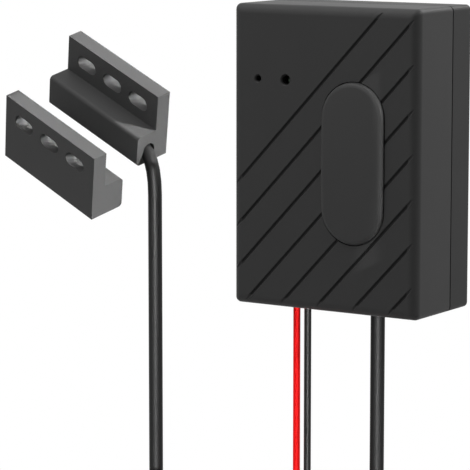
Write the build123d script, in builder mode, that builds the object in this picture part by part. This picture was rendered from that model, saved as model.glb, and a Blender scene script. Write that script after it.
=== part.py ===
from build123d import *
import os
from math import cos, pi, radians, sin, sqrt, tan

os.makedirs("parts", exist_ok=True)

# A garage door controller that is held on a wall. The origin is the centre of its back face,
# +X is right as a viewer faces the wall, -Y comes out of the wall and +Z is up.
# All lengths are in millimetres.

# The box
box_width = 63.0
box_height = 90.0
box_depth = 32.0
rear_depth = 11.5
wall = 2.0
front_edge_radius = 2.8
side_edge_radius = 1.6
back_edge_radius = 0.8
inner_radius = 1.0
seam_width = 0.5
seam_sink = 0.6
lip_height = 1.6
lip_thickness = 1.0
lip_base = 1.8

# One overrun serves every cut, and the clearances serve every fit
overrun = 1.0
fit_gap = 0.2
slide_gap = 0.25
seat_gap = 0.05

# The diagonal grooves of the front
groove_angle = 46.5
groove_pitch = 12.9
groove_first = 23.1
groove_count = 8
groove_width = 0.9
groove_floor = 0.3
groove_depth = 0.45

# The push button
button_width = 20.8
button_height = 47.6
button_x = 10.2
button_z = -0.5
button_proud = 1.7
button_end_proud = 1.0
button_edge = 1.5
button_skin = 1.6
button_rim = 1.6
button_flange_reach = 1.3
button_flange_thickness = 1.2
button_travel = 0.8
button_rib = 1.0
stem_radius = 2.6
collar_depth = 3.0
collar_wall = 1.2

# The indicator holes
wifi_hole_inset = 8.9
door_hole_inset = 18.5
indicator_drop = 22.0
wifi_hole_radius = 0.85
door_hole_radius = 1.35
hole_sink = 0.45

# The screws that hold the two covers together
boss_inset = 4.8
boss_radius = 3.2
screw_shank_radius = 1.3
screw_head_radius = 2.5
screw_head_height = 1.9
screw_length = 16.0
screw_clear = 0.25
screw_bite = 0.05
screw_sink = 4.0
screw_slot_radius = 1.2
screw_slot_depth = 1.0

# The keyholes on the back
keyhole_spacing = 40.0
keyhole_drop = 27.0
keyhole_head_radius = 3.5
keyhole_neck_width = 3.8
keyhole_rise = 6.5

# The circuit board
board_back = 8.0
board_thickness = 1.6
board_side_gap = 1.5
board_end_gap = 1.5
post_inset = 6.7
post_keyhole_gap = 6.0
post_rise = 12.0
post_radius = 2.4
post_pilot_radius = 1.0
post_pilot_depth = 5.0
board_screw_shank = 0.95
board_screw_head = 1.9
board_screw_head_height = 1.3
board_screw_length = 6.0

# The relay
relay_side_gap = 4.5
relay_header_gap = 3.0
relay_width = 19.0
relay_height = 15.5
relay_tall = 15.2
relay_foot = 0.4
relay_edge = 0.8
pin_radius = 0.45
pin_reach = 1.4
pin_gap = 0.05
relay_pin_row = 12.0
relay_pin_spread = 12.2

# The radio module
module_boss_gap = 3.7
module_end_gap = 0.8
module_width = 16.0
module_height = 24.0
module_thickness = 0.8
can_width = 12.2
can_height = 15.2
can_tall = 2.2
can_edge = 0.5
can_drop = 3.6
module_pad_count = 7
module_pad_pitch = 2.0
module_pad_radius = 0.5

# The supply
cap_side_gap = 1.4
large_cap_rise = 35.5
large_cap_radius = 4.0
large_cap_tall = 11.5
small_cap_rise = 25.0
small_cap_radius = 3.15
small_cap_tall = 9.0
cap_groove = 0.35
cap_groove_height = 1.4
cap_edge = 0.4
coil_can_side_gap = 1.9
coil_can_rise = 9.5
coil_can_side = 5.8
coil_can_tall = 3.0
coil_can_edge = 1.0
regulator_aside = 0.3
regulator_rise = 15.5
regulator_width = 6.5
regulator_height = 3.5
regulator_tall = 1.6
regulator_leg = 1.6
lead_thickness = 0.3
relay_neighbour_gap = 4.8
diode_width = 2.6
diode_height = 4.3
diode_tall = 2.1
transistor_width = 2.9
transistor_height = 1.5
transistor_tall = 1.0
chip_length = 1.6
chip_width = 0.8
chip_tall = 0.5
chip_side_gap = 3.0
chip_drop = 12.5
chip_column_pitch = 1.6
chip_row_count = 3
chip_column_count = 4
chip_row_pitch = 3.4

# The tactile switch under the button
switch_side = 6.0
switch_tall = 3.6
switch_plate = 0.3
switch_edge = 0.4
plunger_radius = 1.75
switch_stroke_room = 1.0

# The indicator lights
wifi_lens_radius = 1.0
door_lens_radius = 1.5
lens_rim = 0.35
lens_rim_height = 0.9
lens_tall = 4.0
lens_recess = 0.8
leg_side = 0.5
leg_pitch_wifi = 1.27
leg_pitch_door = 1.8

# The micro-USB supply inlet
usb_boss_gap = 1.45
usb_width = 7.5
usb_deep = 5.6
usb_tall = 2.7
usb_metal = 0.35
usb_chamfer = 0.9
usb_recess = 1.4
usb_tongue_width = 3.7
usb_tongue_thickness = 0.7
usb_tongue_short = 0.8
usb_opening_width = 10.8
usb_opening_depth = 7.4
usb_opening_radius = 1.4

# The cords
cord_depth = 13.5
red_x = -20.2
black_x = -16.3
wire_diameter = 2.2
core_diameter = 1.1
bare_length = 6.0
cable_usb_gap = 0.1
cable_diameter = 4.4
jacket_rise = 11.0
cable_core_diameter = 1.2
cable_core_pitch = 2.0
grommet_wall = 1.4
grommet_flange = 0.9
grommet_flange_thickness = 0.8
grommet_bore_gap = 0.05
strain_tie_width = 2.6
strain_tie_thickness = 1.1
strain_head = 3.6

# The headers and plugs on the board
plug_length = 6.5
wire_plug_rise = 12.0
wire_plug_width = 8.6
wire_plug_thickness = 5.2
wire_grip = 3.0
sensor_plug_rise = 16.5
sensor_plug_width = 6.0
sensor_plug_thickness = 4.2
sensor_grip = 2.5
header_wall = 0.8
header_height = 5.2
header_gap = 0.1
header_pin = 0.6

# The sensor pair: both halves are the same moulding, turned to face each other
pair_turn = (23.0, 19.0, -17.0)
reed_place = (-93.0, -3.2, 3.9)
pair_distance = 30.1
pair_drop = 12.6
half_length = 43.0
half_height = 23.4
flange_thickness = 4.9
block_depth = 7.4
block_height = 10.8
slot_length = 8.6
slot_width = 4.6
slot_pitch = 12.4
slot_height = 16.9
block_round = 1.3
half_edge = 0.35
pocket_wall = 2.0
pocket_floor = 2.0
pocket_front = 1.6
pocket_back = 2.2
potting_sink = 0.3
glass_radius = 1.1
glass_length = 14.0
blade_radius = 0.3
blade_length = 9.0
blade_overlap = 1.0
reed_level = 5.4
magnet_length = 30.0
magnet_side = 5.0
magnet_level = 4.6
cable_exit_depth = 7.5
cable_exit_level = 4.6
cable_inside = 4.6
cable_bend_reach = 2.9

# The coils that hold the length which the picture leaves out, and their ties
turn_gap = 0.5
sensor_coil_radius = 31.0
sensor_coil_z = -190.0
sensor_layer_count = 4
sensor_quarter_count = 13
wire_coil_radius = 15.6
wire_coil_z = -124.0
wire_layer_count = 4
wire_quarter_count = 10
view_end_z = -102.0
stretch_end_z = -156.0
wire_bend_z = -112.0
tail_length = 16.0
tie_thickness = 1.1
tie_width_wires = 3.0
tie_width_cable = 4.6
tie_clear = 0.3
tie_head_wires = 4.6
tie_head_cable = 6.6
tie_strap_tail = 3.5


def depth(distance):
    """The vertical plane at a distance out from the wall, facing the viewer."""
    return Plane.XZ.offset(distance)


def keep(piece, name):
    """Label a finished piece and write it."""
    piece.part.label = name
    export_step(piece.part, "parts/" + name + ".step")


def column(plane, places, radius, length):
    """Round columns on a plane, added to the part that is being made."""
    with BuildSketch(plane) as profile:
        with Locations(*places):
            Circle(radius)
    extrude(profile.sketch, amount=length)


def bore(plane, places, radius, length):
    """Round holes into the part that is being made."""
    with BuildSketch(plane) as profile:
        with Locations(*places):
            Circle(radius)
    extrude(profile.sketch, amount=length, mode=Mode.SUBTRACT)


# Places that several pieces share, from the box's sides and from each other
board_front = board_back + board_thickness
inner_width = box_width - 2 * wall
inner_height = box_height - 2 * wall
board_width = inner_width - 2 * board_side_gap
board_height = inner_height - 2 * board_end_gap
front_inside = box_depth - wall
bottom = -box_height / 2
floor_inside = bottom + wall
wires_x = (red_x + black_x) / 2
wires_pitch = black_x - red_x
wire_grommet_radius = wire_diameter / 2 + grommet_wall
cable_grommet_radius = cable_diameter / 2 + grommet_wall
boss_x = box_width / 2 - boss_inset
boss_z = box_height / 2 - boss_inset
keyhole_z = box_height / 2 - keyhole_drop
post_x = box_width / 2 - post_inset
post_high_z = keyhole_z - post_keyhole_gap
post_low_z = bottom + post_rise
wifi_hole_x = -box_width / 2 + wifi_hole_inset
door_hole_x = -box_width / 2 + door_hole_inset
indicator_z = box_height / 2 - indicator_drop
usb_x = boss_x - boss_radius - usb_boss_gap - usb_width / 2
cable_x = usb_x - usb_opening_width / 2 - cable_usb_gap - cable_grommet_radius - grommet_flange
jacket_top = bottom + jacket_rise
wire_plug_low = bottom + wire_plug_rise
wire_plug_top = wire_plug_low + plug_length
sensor_plug_low = bottom + sensor_plug_rise
sensor_plug_top = sensor_plug_low + plug_length
relay_x = -board_width / 2 + relay_side_gap + relay_width / 2
relay_z = wire_plug_top + header_wall + relay_header_gap + relay_height / 2
module_x = boss_x - boss_radius - module_boss_gap - module_width / 2
module_z = board_height / 2 - module_end_gap - module_height / 2
large_cap_x = board_width / 2 - cap_side_gap - large_cap_radius
large_cap_z = bottom + large_cap_rise
small_cap_x = board_width / 2 - cap_side_gap - large_cap_radius
small_cap_z = bottom + small_cap_rise
coil_can_x = cable_x - cable_grommet_radius - grommet_flange - coil_can_side_gap - coil_can_side / 2
coil_can_z = bottom + coil_can_rise
regulator_x = usb_x - regulator_aside
regulator_z = bottom + regulator_rise
diode_x = relay_x + relay_width / 2 + relay_neighbour_gap + diode_width / 2
diode_z = relay_z + relay_height / 4
transistor_x = diode_x
transistor_z = relay_z - relay_height / 4
chip_x = -board_width / 2 + chip_side_gap
chip_z = board_height / 2 - chip_drop
sensor_coil_quarters = [sensor_quarter_count - layer % 2 for layer in range(sensor_layer_count)]
wire_coil_quarters = [wire_quarter_count] * wire_layer_count
boss_places = [(boss_x, boss_z), (-boss_x, boss_z), (boss_x, -boss_z), (-boss_x, -boss_z)]
post_places = [(post_x, post_high_z), (-post_x, post_high_z), (post_x, post_low_z), (-post_x, post_low_z)]
screwed_posts = [post_places[1], post_places[2]]
usb_depth = board_front + usb_tall / 2
flange_width = button_width + 2 * button_flange_reach
flange_height = button_height + 2 * button_flange_reach


def notch(plane, x, half_span, radius, length, mode):
    """A slot in the floor of a cover, open to the seam and round at its front end."""
    reach = cord_depth - rear_depth
    with BuildSketch(plane) as profile:
        with Locations((x, -cord_depth)):
            SlotCenterToCenter(half_span * 2, radius * 2) if half_span > 0 else Circle(radius)
        with Locations((x, -cord_depth + reach / 2)):
            Rectangle(2 * (half_span + radius), reach)
    extrude(profile.sketch, amount=length, mode=mode)


# The rear cover, with its screw towers, board posts and keyholes
with BuildPart() as rear_cover:
    with BuildSketch(Plane.XZ):
        RectangleRounded(box_width, box_height, side_edge_radius)
    extrude(amount=rear_depth - seam_width)
    fillet(faces().sort_by(Axis.Y)[-1].edges(), back_edge_radius)
    with BuildSketch(depth(rear_depth - seam_width)):
        RectangleRounded(box_width - 2 * seam_sink, box_height - 2 * seam_sink, side_edge_radius - seam_sink)
    extrude(amount=seam_width)
    with BuildSketch(depth(wall)):
        RectangleRounded(inner_width, inner_height, inner_radius)
    extrude(amount=rear_depth, mode=Mode.SUBTRACT)
    with BuildSketch(depth(rear_depth - lip_base)):
        RectangleRounded(inner_width, inner_height, inner_radius)
        lip_inner_width = inner_width - 2 * (fit_gap + lip_thickness)
        lip_inner_height = inner_height - 2 * (fit_gap + lip_thickness)
        RectangleRounded(lip_inner_width, lip_inner_height, inner_radius, mode=Mode.SUBTRACT)
    extrude(amount=lip_base)
    with BuildSketch(depth(rear_depth)):
        RectangleRounded(inner_width - 2 * fit_gap, inner_height - 2 * fit_gap, inner_radius)
        RectangleRounded(lip_inner_width, lip_inner_height, inner_radius, mode=Mode.SUBTRACT)
    extrude(amount=lip_height)
    column(depth(wall), boss_places, boss_radius, rear_depth - wall)
    bore(depth(rear_depth), boss_places, boss_radius + fit_gap, lip_height + overrun)
    bore(Plane.XZ, boss_places, screw_shank_radius + screw_clear, rear_depth)
    bore(Plane.XZ, boss_places, screw_head_radius + screw_clear, screw_sink)
    column(depth(wall), post_places, post_radius, board_back - wall)
    bore(depth(board_back - post_pilot_depth), screwed_posts, post_pilot_radius, post_pilot_depth)
    with BuildSketch(depth(-overrun)):
        with Locations((-keyhole_spacing / 2, keyhole_z), (keyhole_spacing / 2, keyhole_z)):
            Circle(keyhole_head_radius)
        neck_z = keyhole_z + keyhole_rise / 2
        with Locations((-keyhole_spacing / 2, neck_z), (keyhole_spacing / 2, neck_z)):
            SlotCenterToCenter(keyhole_rise, keyhole_neck_width, rotation=90)
    extrude(amount=wall + 2 * overrun, mode=Mode.SUBTRACT)
    with BuildSketch(Plane.XY.offset(bottom - overrun)):
        with Locations((usb_x, -usb_depth)):
            RectangleRounded(usb_opening_width, usb_opening_depth, usb_opening_radius)
    extrude(amount=wall + overrun + lip_thickness + fit_gap + overrun, mode=Mode.SUBTRACT)
    lip_cut = wall + fit_gap + lip_thickness + overrun
    flange_room = wire_grommet_radius + grommet_flange + fit_gap
    with BuildSketch(depth(rear_depth)):
        with Locations((wires_x, floor_inside)):
            Rectangle(wires_pitch + 2 * flange_room, 2 * lip_cut)
        with Locations((cable_x, floor_inside)):
            Rectangle(2 * (cable_grommet_radius + grommet_flange + fit_gap), 2 * lip_cut)
    extrude(amount=lip_height + overrun, mode=Mode.SUBTRACT)
    with BuildSketch(depth(rear_depth - lip_base - overrun)):
        with Locations((wires_x, floor_inside + lip_cut)):
            Rectangle(wires_pitch + 2 * flange_room, 2 * lip_cut)
        with Locations((cable_x, floor_inside + lip_cut)):
            Rectangle(2 * (cable_grommet_radius + grommet_flange + fit_gap), 2 * lip_cut)
    extrude(amount=lip_base + overrun, mode=Mode.SUBTRACT)
    notch(Plane.XY.offset(bottom - overrun), wires_x, wires_pitch / 2, wire_grommet_radius,
          wall + 2 * overrun, Mode.SUBTRACT)
    notch(Plane.XY.offset(bottom - overrun), cable_x, 0, cable_grommet_radius,
          wall + 2 * overrun, Mode.SUBTRACT)
keep(rear_cover, "rear_cover")

# The moulded front cover: rounded shell, pill opening, sunk indicator holes and diagonal grooves
with BuildPart() as front_cover:
    with BuildSketch(depth(rear_depth)):
        Rectangle(box_width, box_height)
    extrude(amount=box_depth - rear_depth)
    fillet(faces().sort_by(Axis.Y)[0].edges(), front_edge_radius)
    fillet(edges().filter_by(Axis.Y), side_edge_radius)
    with BuildSketch(depth(rear_depth)):
        RectangleRounded(inner_width, inner_height, inner_radius)
    extrude(amount=front_inside - rear_depth, mode=Mode.SUBTRACT)
    column(depth(rear_depth), boss_places, boss_radius, front_inside - rear_depth)
    bore(depth(rear_depth), boss_places, screw_shank_radius + screw_bite, screw_length)
    with BuildSketch(depth(front_inside - collar_depth)):
        collar_gap = 2 * slide_gap
        collar_size = collar_gap + 2 * collar_wall
        with Locations((button_x, button_z)):
            SlotOverall(flange_height + collar_size, flange_width + collar_size, rotation=90)
            SlotOverall(flange_height + collar_gap, flange_width + collar_gap, rotation=90, mode=Mode.SUBTRACT)
    extrude(amount=collar_depth)
    with BuildSketch(depth(front_inside - overrun)):
        with Locations((button_x, button_z)):
            SlotOverall(button_height + 2 * slide_gap, button_width + 2 * slide_gap, rotation=90)
    extrude(amount=wall + 2 * overrun, mode=Mode.SUBTRACT)
    for hole_x, hole_radius in ((wifi_hole_x, wifi_hole_radius), (door_hole_x, door_hole_radius)):
        bore(depth(front_inside - overrun), [(hole_x, indicator_z)], hole_radius, wall + 2 * overrun)
        with BuildSketch(depth(box_depth - hole_sink)):
            with Locations((hole_x, indicator_z)):
                Circle(hole_radius)
        with BuildSketch(depth(box_depth)):
            with Locations((hole_x, indicator_z)):
                Circle(hole_radius + hole_sink)
        loft(mode=Mode.SUBTRACT)
    groove_way = Vector(cos(radians(groove_angle)), 0, sin(radians(groove_angle)))
    groove_side = Vector(-sin(radians(groove_angle)), 0, cos(radians(groove_angle)))
    for number in range(groove_count):
        middle = Vector(0, -box_depth, groove_first - number * groove_pitch)
        with BuildSketch(Plane(origin=middle, x_dir=groove_side, z_dir=groove_way)) as groove_profile:
            lip = groove_width / 2 * (groove_depth + overrun) / groove_depth
            with BuildLine():
                Polyline(
                    (-lip, overrun),
                    (lip, overrun),
                    (groove_floor / 2, -groove_depth),
                    (-groove_floor / 2, -groove_depth),
                    close=True,
                )
            make_face()
        extrude(amount=box_height + box_width, both=True, mode=Mode.SUBTRACT)
    notch(Plane.XY.offset(bottom - overrun), wires_x, wires_pitch / 2, wire_grommet_radius,
          wall + 2 * overrun, Mode.SUBTRACT)
    notch(Plane.XY.offset(bottom - overrun), cable_x, 0, cable_grommet_radius,
          wall + 2 * overrun, Mode.SUBTRACT)
    with BuildSketch(Plane.XY.offset(bottom - overrun)):
        with Locations((usb_x, -usb_depth)):
            RectangleRounded(usb_opening_width, usb_opening_depth, usb_opening_radius)
    extrude(amount=wall + 2 * overrun, mode=Mode.SUBTRACT)
keep(front_cover, "front_cover")

# The four screws that enter from the back
with BuildPart() as housing_screws:
    head_seat = screw_sink
    column(depth(head_seat - screw_head_height), boss_places, screw_head_radius, screw_head_height)
    column(depth(head_seat), boss_places, screw_shank_radius, screw_length)
    bore(depth(head_seat - screw_head_height), boss_places, screw_slot_radius, screw_slot_depth)
keep(housing_screws, "housing_screws")

# The push button: a hollow pill with a flange that stops it from falling out, and a stem
stem_end = front_inside - button_flange_thickness - seat_gap
switch_top = board_front + switch_tall
plunger_end = switch_top + switch_stroke_room + (stem_end - switch_top) / 2
with BuildPart() as push_button:
    with BuildSketch(depth(stem_end)):
        with Locations((button_x, button_z)):
            SlotOverall(flange_height, flange_width, rotation=90)
    extrude(amount=button_flange_thickness)
    with BuildSketch(depth(front_inside - seat_gap)):
        with Locations((button_x, button_z)):
            SlotOverall(button_height, button_width, rotation=90)
    extrude(amount=wall + seat_gap + button_proud)
    with BuildSketch(Plane.YZ.offset(button_x - flange_width)):
        button_top = button_z + button_height / 2
        button_end = button_z - button_height / 2
        crown = -box_depth - button_proud
        crown_end = -box_depth - button_end_proud
        with BuildLine():
            ThreePointArc((crown_end, button_end), (crown, button_z), (crown_end, button_top))
            Polyline((crown_end, button_top), (crown - overrun, button_top + overrun),
                     (crown - overrun, button_end - overrun), (crown_end, button_end))
        make_face()
    extrude(amount=2 * flange_width, mode=Mode.SUBTRACT)
    fillet(faces().sort_by(Axis.Y)[0].edges(), button_edge)
    with BuildSketch(depth(stem_end)):
        with Locations((button_x, button_z)):
            SlotOverall(button_height - 2 * button_rim, button_width - 2 * button_rim, rotation=90)
    pocket_depth = box_depth + button_end_proud - button_skin - stem_end
    extrude(amount=pocket_depth, mode=Mode.SUBTRACT)
    with BuildSketch(depth(stem_end)):
        with Locations((button_x, button_z)):
            Rectangle(button_width - button_rim, button_rib)
            Rectangle(button_rib, button_height - button_rim)
    extrude(amount=pocket_depth)
    column(depth(plunger_end), [(button_x, button_z)], stem_radius, stem_end + pocket_depth - plunger_end)
keep(push_button, "push_button")

# The tactile switch: case, metal plate and the plunger that travels with the button
switch_place = [(button_x, button_z)]
with BuildPart() as switch_case:
    with BuildSketch(depth(board_front)):
        with Locations(*switch_place):
            RectangleRounded(switch_side, switch_side, switch_edge)
    extrude(amount=switch_tall - switch_plate)
    room = switch_stroke_room + button_travel
    bore(depth(switch_top - switch_plate - room), switch_place, plunger_radius + fit_gap, room)
    with BuildSketch(depth(board_front - board_thickness - pin_reach / 2)):
        leg_x = switch_side / 2 - leg_side
        with Locations(*[(button_x + sx * leg_x, button_z + sz * leg_x) for sx in (1, -1) for sz in (1, -1)]):
            Rectangle(leg_side, leg_side)
    extrude(amount=board_thickness + pin_reach / 2)
keep(switch_case, "switch_case")

with BuildPart() as switch_plate_piece:
    with BuildSketch(depth(switch_top - switch_plate)):
        with Locations(*switch_place):
            RectangleRounded(switch_side, switch_side, switch_edge)
            Circle(plunger_radius + fit_gap, mode=Mode.SUBTRACT)
    extrude(amount=switch_plate)
keep(switch_plate_piece, "switch_plate")

with BuildPart() as switch_plunger:
    column(depth(switch_top - switch_plate - seat_gap), switch_place, plunger_radius,
           plunger_end - switch_top + switch_plate + seat_gap)
keep(switch_plunger, "switch_plunger")

# The circuit board, cut round the screw towers, with holes for pins, posts and lamp legs
relay_pin_places = [
    (relay_x + sx * relay_pin_spread / 2, relay_z + sz * relay_pin_row / 2) for sx in (1, -1) for sz in (1, -1)
]
relay_pin_places.append((relay_x + relay_pin_spread / 2, relay_z))
lamps = (
    (wifi_hole_x, wifi_lens_radius, leg_pitch_wifi),
    (door_hole_x, door_lens_radius, leg_pitch_door),
)
leg_places = [(x + side * pitch / 2, indicator_z) for x, radius, pitch in lamps for side in (1, -1)]
with BuildPart() as circuit_board:
    with BuildSketch(depth(board_back)):
        Rectangle(board_width, board_height)
        with Locations(*boss_places):
            Circle(boss_radius + 2 * fit_gap, mode=Mode.SUBTRACT)
        for corner_x, corner_z in boss_places:
            with Locations((corner_x + (boss_radius if corner_x > 0 else -boss_radius), corner_z)):
                Rectangle(2 * boss_radius, 2 * (boss_radius + 2 * fit_gap), mode=Mode.SUBTRACT)
            with Locations((corner_x, corner_z + (boss_radius if corner_z > 0 else -boss_radius))):
                Rectangle(2 * (boss_radius + 2 * fit_gap), 2 * boss_radius, mode=Mode.SUBTRACT)
    extrude(amount=board_thickness)
    bore(depth(board_back), screwed_posts, board_screw_shank + screw_bite, board_thickness)
    bore(depth(board_back), relay_pin_places, pin_radius + pin_gap, board_thickness)
    with BuildSketch(depth(board_back)):
        with Locations(*leg_places):
            Rectangle(leg_side + 2 * pin_gap, leg_side + 2 * pin_gap)
        with Locations(*[(button_x + sx * leg_x, button_z + sz * leg_x) for sx in (1, -1) for sz in (1, -1)]):
            Rectangle(leg_side + 2 * pin_gap, leg_side + 2 * pin_gap)
    extrude(amount=board_thickness, mode=Mode.SUBTRACT)
keep(circuit_board, "circuit_board")

with BuildPart() as board_screws:
    column(depth(board_front), screwed_posts, board_screw_head, board_screw_head_height)
    column(depth(board_front - board_screw_length), screwed_posts, board_screw_shank, board_screw_length)
    bore(depth(board_front + board_screw_head_height / 2), screwed_posts, board_screw_shank, board_screw_head_height)
keep(board_screws, "board_screws")

# The relay that closes the opener's contact
with BuildPart() as relay:
    with BuildSketch(depth(board_front + relay_foot)):
        with Locations((relay_x, relay_z)):
            RectangleRounded(relay_width, relay_height, relay_edge)
    extrude(amount=relay_tall - relay_foot)
    fillet(faces().sort_by(Axis.Y)[0].edges(), relay_edge / 2)
    with BuildSketch(depth(board_front)):
        foot_x = relay_width / 2 - relay_edge
        foot_z = relay_height / 2 - relay_edge
        with Locations(*[(relay_x + sx * foot_x, relay_z + sz * foot_z) for sx in (1, -1) for sz in (1, -1)]):
            Circle(relay_edge)
    extrude(amount=relay_foot)
keep(relay, "relay")

with BuildPart() as relay_pins:
    column(depth(board_back - pin_reach), relay_pin_places, pin_radius, board_thickness + pin_reach + relay_foot)
keep(relay_pins, "relay_pins")

# The radio module and its metal can
with BuildPart() as radio_module:
    with BuildSketch(depth(board_front)):
        with Locations((module_x, module_z)):
            Rectangle(module_width, module_height)
        with Locations((module_x, module_z - can_drop)):
            with GridLocations(module_width, module_pad_pitch, 2, module_pad_count):
                Circle(module_pad_radius, mode=Mode.SUBTRACT)
    extrude(amount=module_thickness)
keep(radio_module, "radio_module")

with BuildPart() as radio_can:
    with BuildSketch(depth(board_front + module_thickness)):
        with Locations((module_x, module_z - can_drop)):
            RectangleRounded(can_width, can_height, can_edge)
    extrude(amount=can_tall)
    fillet(faces().sort_by(Axis.Y)[0].edges(), can_edge)
keep(radio_can, "radio_can")

# The supply capacitors, with the groove above their rubber end
with BuildPart() as supply_capacitors:
    cans = (
        (large_cap_x, large_cap_z, large_cap_radius, large_cap_tall),
        (small_cap_x, small_cap_z, small_cap_radius, small_cap_tall),
    )
    for can_x, can_z, can_radius, can_length in cans:
        with BuildSketch(Plane(origin=(can_x, -board_front, can_z), x_dir=(1, 0, 0), z_dir=(0, 0, 1))):
            with BuildLine():
                Polyline(
                    (0, 0),
                    (can_radius, 0),
                    (can_radius, -cap_groove_height),
                    (can_radius - cap_groove, -cap_groove_height - cap_groove),
                    (can_radius, -cap_groove_height - 2 * cap_groove),
                    (can_radius, -can_length + cap_edge),
                    (can_radius - cap_edge, -can_length),
                    (0, -can_length),
                    close=True,
                )
            make_face()
        revolve(axis=Axis((can_x, -board_front, can_z), (0, 1, 0)))
keep(supply_capacitors, "supply_capacitors")

with BuildPart() as power_inductor:
    with BuildSketch(depth(board_front)):
        with Locations((coil_can_x, coil_can_z)):
            RectangleRounded(coil_can_side, coil_can_side, coil_can_edge)
    extrude(amount=coil_can_tall)
    chamfer(faces().sort_by(Axis.Y)[0].edges(), can_edge)
keep(power_inductor, "power_inductor")


def leaded_chip(x, z, width, height, tall, leg_reach, leg_offsets):
    """A flat moulded chip whose legs stand out above and below it."""
    with BuildSketch(depth(board_front + lead_thickness)) as body:
        with Locations((x, z)):
            Rectangle(width, height)
    extrude(body.sketch, amount=tall - lead_thickness)
    with BuildSketch(depth(board_front)) as legs:
        for side, offset in leg_offsets:
            with Locations((x + offset, z + side * (height / 2 + leg_reach / 4))):
                Rectangle(chip_width, leg_reach * 3 / 2)
    extrude(legs.sketch, amount=2 * lead_thickness)


with BuildPart() as regulator_chip:
    leaded_chip(regulator_x, regulator_z, regulator_width, regulator_height, regulator_tall, regulator_leg,
                ((1, 0), (-1, 0), (-1, regulator_width / 3), (-1, -regulator_width / 3)))
keep(regulator_chip, "regulator_chip")

with BuildPart() as relay_transistor:
    leaded_chip(transistor_x, transistor_z, transistor_width, transistor_height, transistor_tall, transistor_tall,
                ((1, 0), (-1, transistor_width / 3), (-1, -transistor_width / 3)))
keep(relay_transistor, "relay_transistor")

with BuildPart() as relay_diode:
    with BuildSketch(depth(board_front)):
        with Locations((diode_x, diode_z)):
            Rectangle(diode_width, diode_height)
    extrude(amount=diode_tall)
    chamfer(faces().sort_by(Axis.Y)[0].edges(), can_edge)
keep(relay_diode, "relay_diode")

with BuildPart() as chip_parts:
    with BuildSketch(depth(board_front)):
        for row in range(chip_row_count):
            for place in range(chip_column_count):
                spot = (chip_x + row * chip_row_pitch, chip_z + place * chip_column_pitch)
                with Locations(spot):
                    Rectangle(chip_length, chip_width)
    extrude(amount=chip_tall)
keep(chip_parts, "chip_parts")


def lamp(x, lens_radius):
    """A small round lamp on a rim, domed towards its hole."""
    top = front_inside - lens_recess
    foot = top - lens_tall
    with BuildSketch(Plane(origin=(x, 0, indicator_z), x_dir=(1, 0, 0), z_dir=(0, 0, 1))) as profile:
        with BuildLine():
            Polyline(
                (0, -top),
                (0, -foot),
                (lens_radius + lens_rim, -foot),
                (lens_radius + lens_rim, -foot - lens_rim_height),
                (lens_radius, -foot - lens_rim_height),
                (lens_radius, -top + lens_radius),
            )
            RadiusArc((lens_radius, -top + lens_radius), (0, -top), lens_radius)
        make_face()
    revolve(profile.sketch, axis=Axis((x, 0, indicator_z), (0, 1, 0)))


with BuildPart() as wifi_lamp:
    lamp(wifi_hole_x, wifi_lens_radius)
keep(wifi_lamp, "wifi_lamp")

with BuildPart() as door_lamp:
    lamp(door_hole_x, door_lens_radius)
keep(door_lamp, "door_lamp")

lamp_foot = front_inside - lens_recess - lens_tall
with BuildPart() as lamp_spacers:
    with BuildSketch(depth(board_front)):
        for lamp_x, lens_radius, leg_pitch in lamps:
            with Locations((lamp_x, indicator_z)):
                Circle(lens_radius + lens_rim)
        with Locations(*leg_places):
            Rectangle(leg_side + 2 * pin_gap, leg_side + 2 * pin_gap, mode=Mode.SUBTRACT)
    extrude(amount=lamp_foot - board_front)
keep(lamp_spacers, "lamp_spacers")

with BuildPart() as lamp_legs:
    with BuildSketch(depth(board_back - pin_reach)):
        with Locations(*leg_places):
            Rectangle(leg_side, leg_side)
    extrude(amount=lamp_foot - board_back + pin_reach)
keep(lamp_legs, "lamp_legs")

# The micro-USB inlet: folded metal shell round a tongue
usb_mouth = bottom + usb_recess
with BuildPart() as usb_shell:
    with BuildSketch(Plane((usb_x, -usb_depth, usb_mouth))):
        with BuildLine():
            Polyline(
                (-usb_width / 2, usb_tall / 2),
                (usb_width / 2, usb_tall / 2),
                (usb_width / 2, usb_tall / 2 - usb_chamfer),
                (usb_width / 2 - usb_chamfer, -usb_tall / 2),
                (-usb_width / 2 + usb_chamfer, -usb_tall / 2),
                (-usb_width / 2, usb_tall / 2 - usb_chamfer),
                close=True,
            )
        make_face()
    extrude(amount=usb_deep)
    offset(amount=-usb_metal, openings=faces().sort_by(Axis.Z)[0], kind=Kind.INTERSECTION)
keep(usb_shell, "usb_shell")

with BuildPart() as usb_tongue:
    with BuildSketch(Plane.XY.offset(usb_mouth + usb_tongue_short)):
        with Locations((usb_x, -usb_depth + usb_metal)):
            Rectangle(usb_tongue_width, usb_tongue_thickness)
    extrude(amount=usb_deep - usb_metal - usb_tongue_short)
keep(usb_tongue, "usb_tongue")


def header(x, low, top, width, thickness, pitch):
    """An open-bottomed box on the board with two pins, that a plug fits from below."""
    outer_width = width + 2 * (header_gap + header_wall)
    reach = cord_depth + thickness / 2 + header_gap + header_wall - board_front
    with BuildSketch(depth(board_front)) as block:
        with Locations((x, top - header_height / 2 + header_wall)):
            Rectangle(outer_width, header_height)
    extrude(block.sketch, amount=reach)
    with BuildSketch(Plane.XY.offset(top - header_height - overrun)) as room:
        with Locations((x, -cord_depth)):
            Rectangle(width + 2 * header_gap, thickness + 2 * header_gap)
    extrude(room.sketch, amount=header_height + overrun + header_gap, mode=Mode.SUBTRACT)
    with BuildSketch(Plane.XY.offset(top - header_height / 2)) as pins:
        with Locations((x - pitch / 2, -cord_depth), (x + pitch / 2, -cord_depth)):
            Rectangle(header_pin, header_pin)
    extrude(pins.sketch, amount=header_height / 2 + header_gap)


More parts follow.
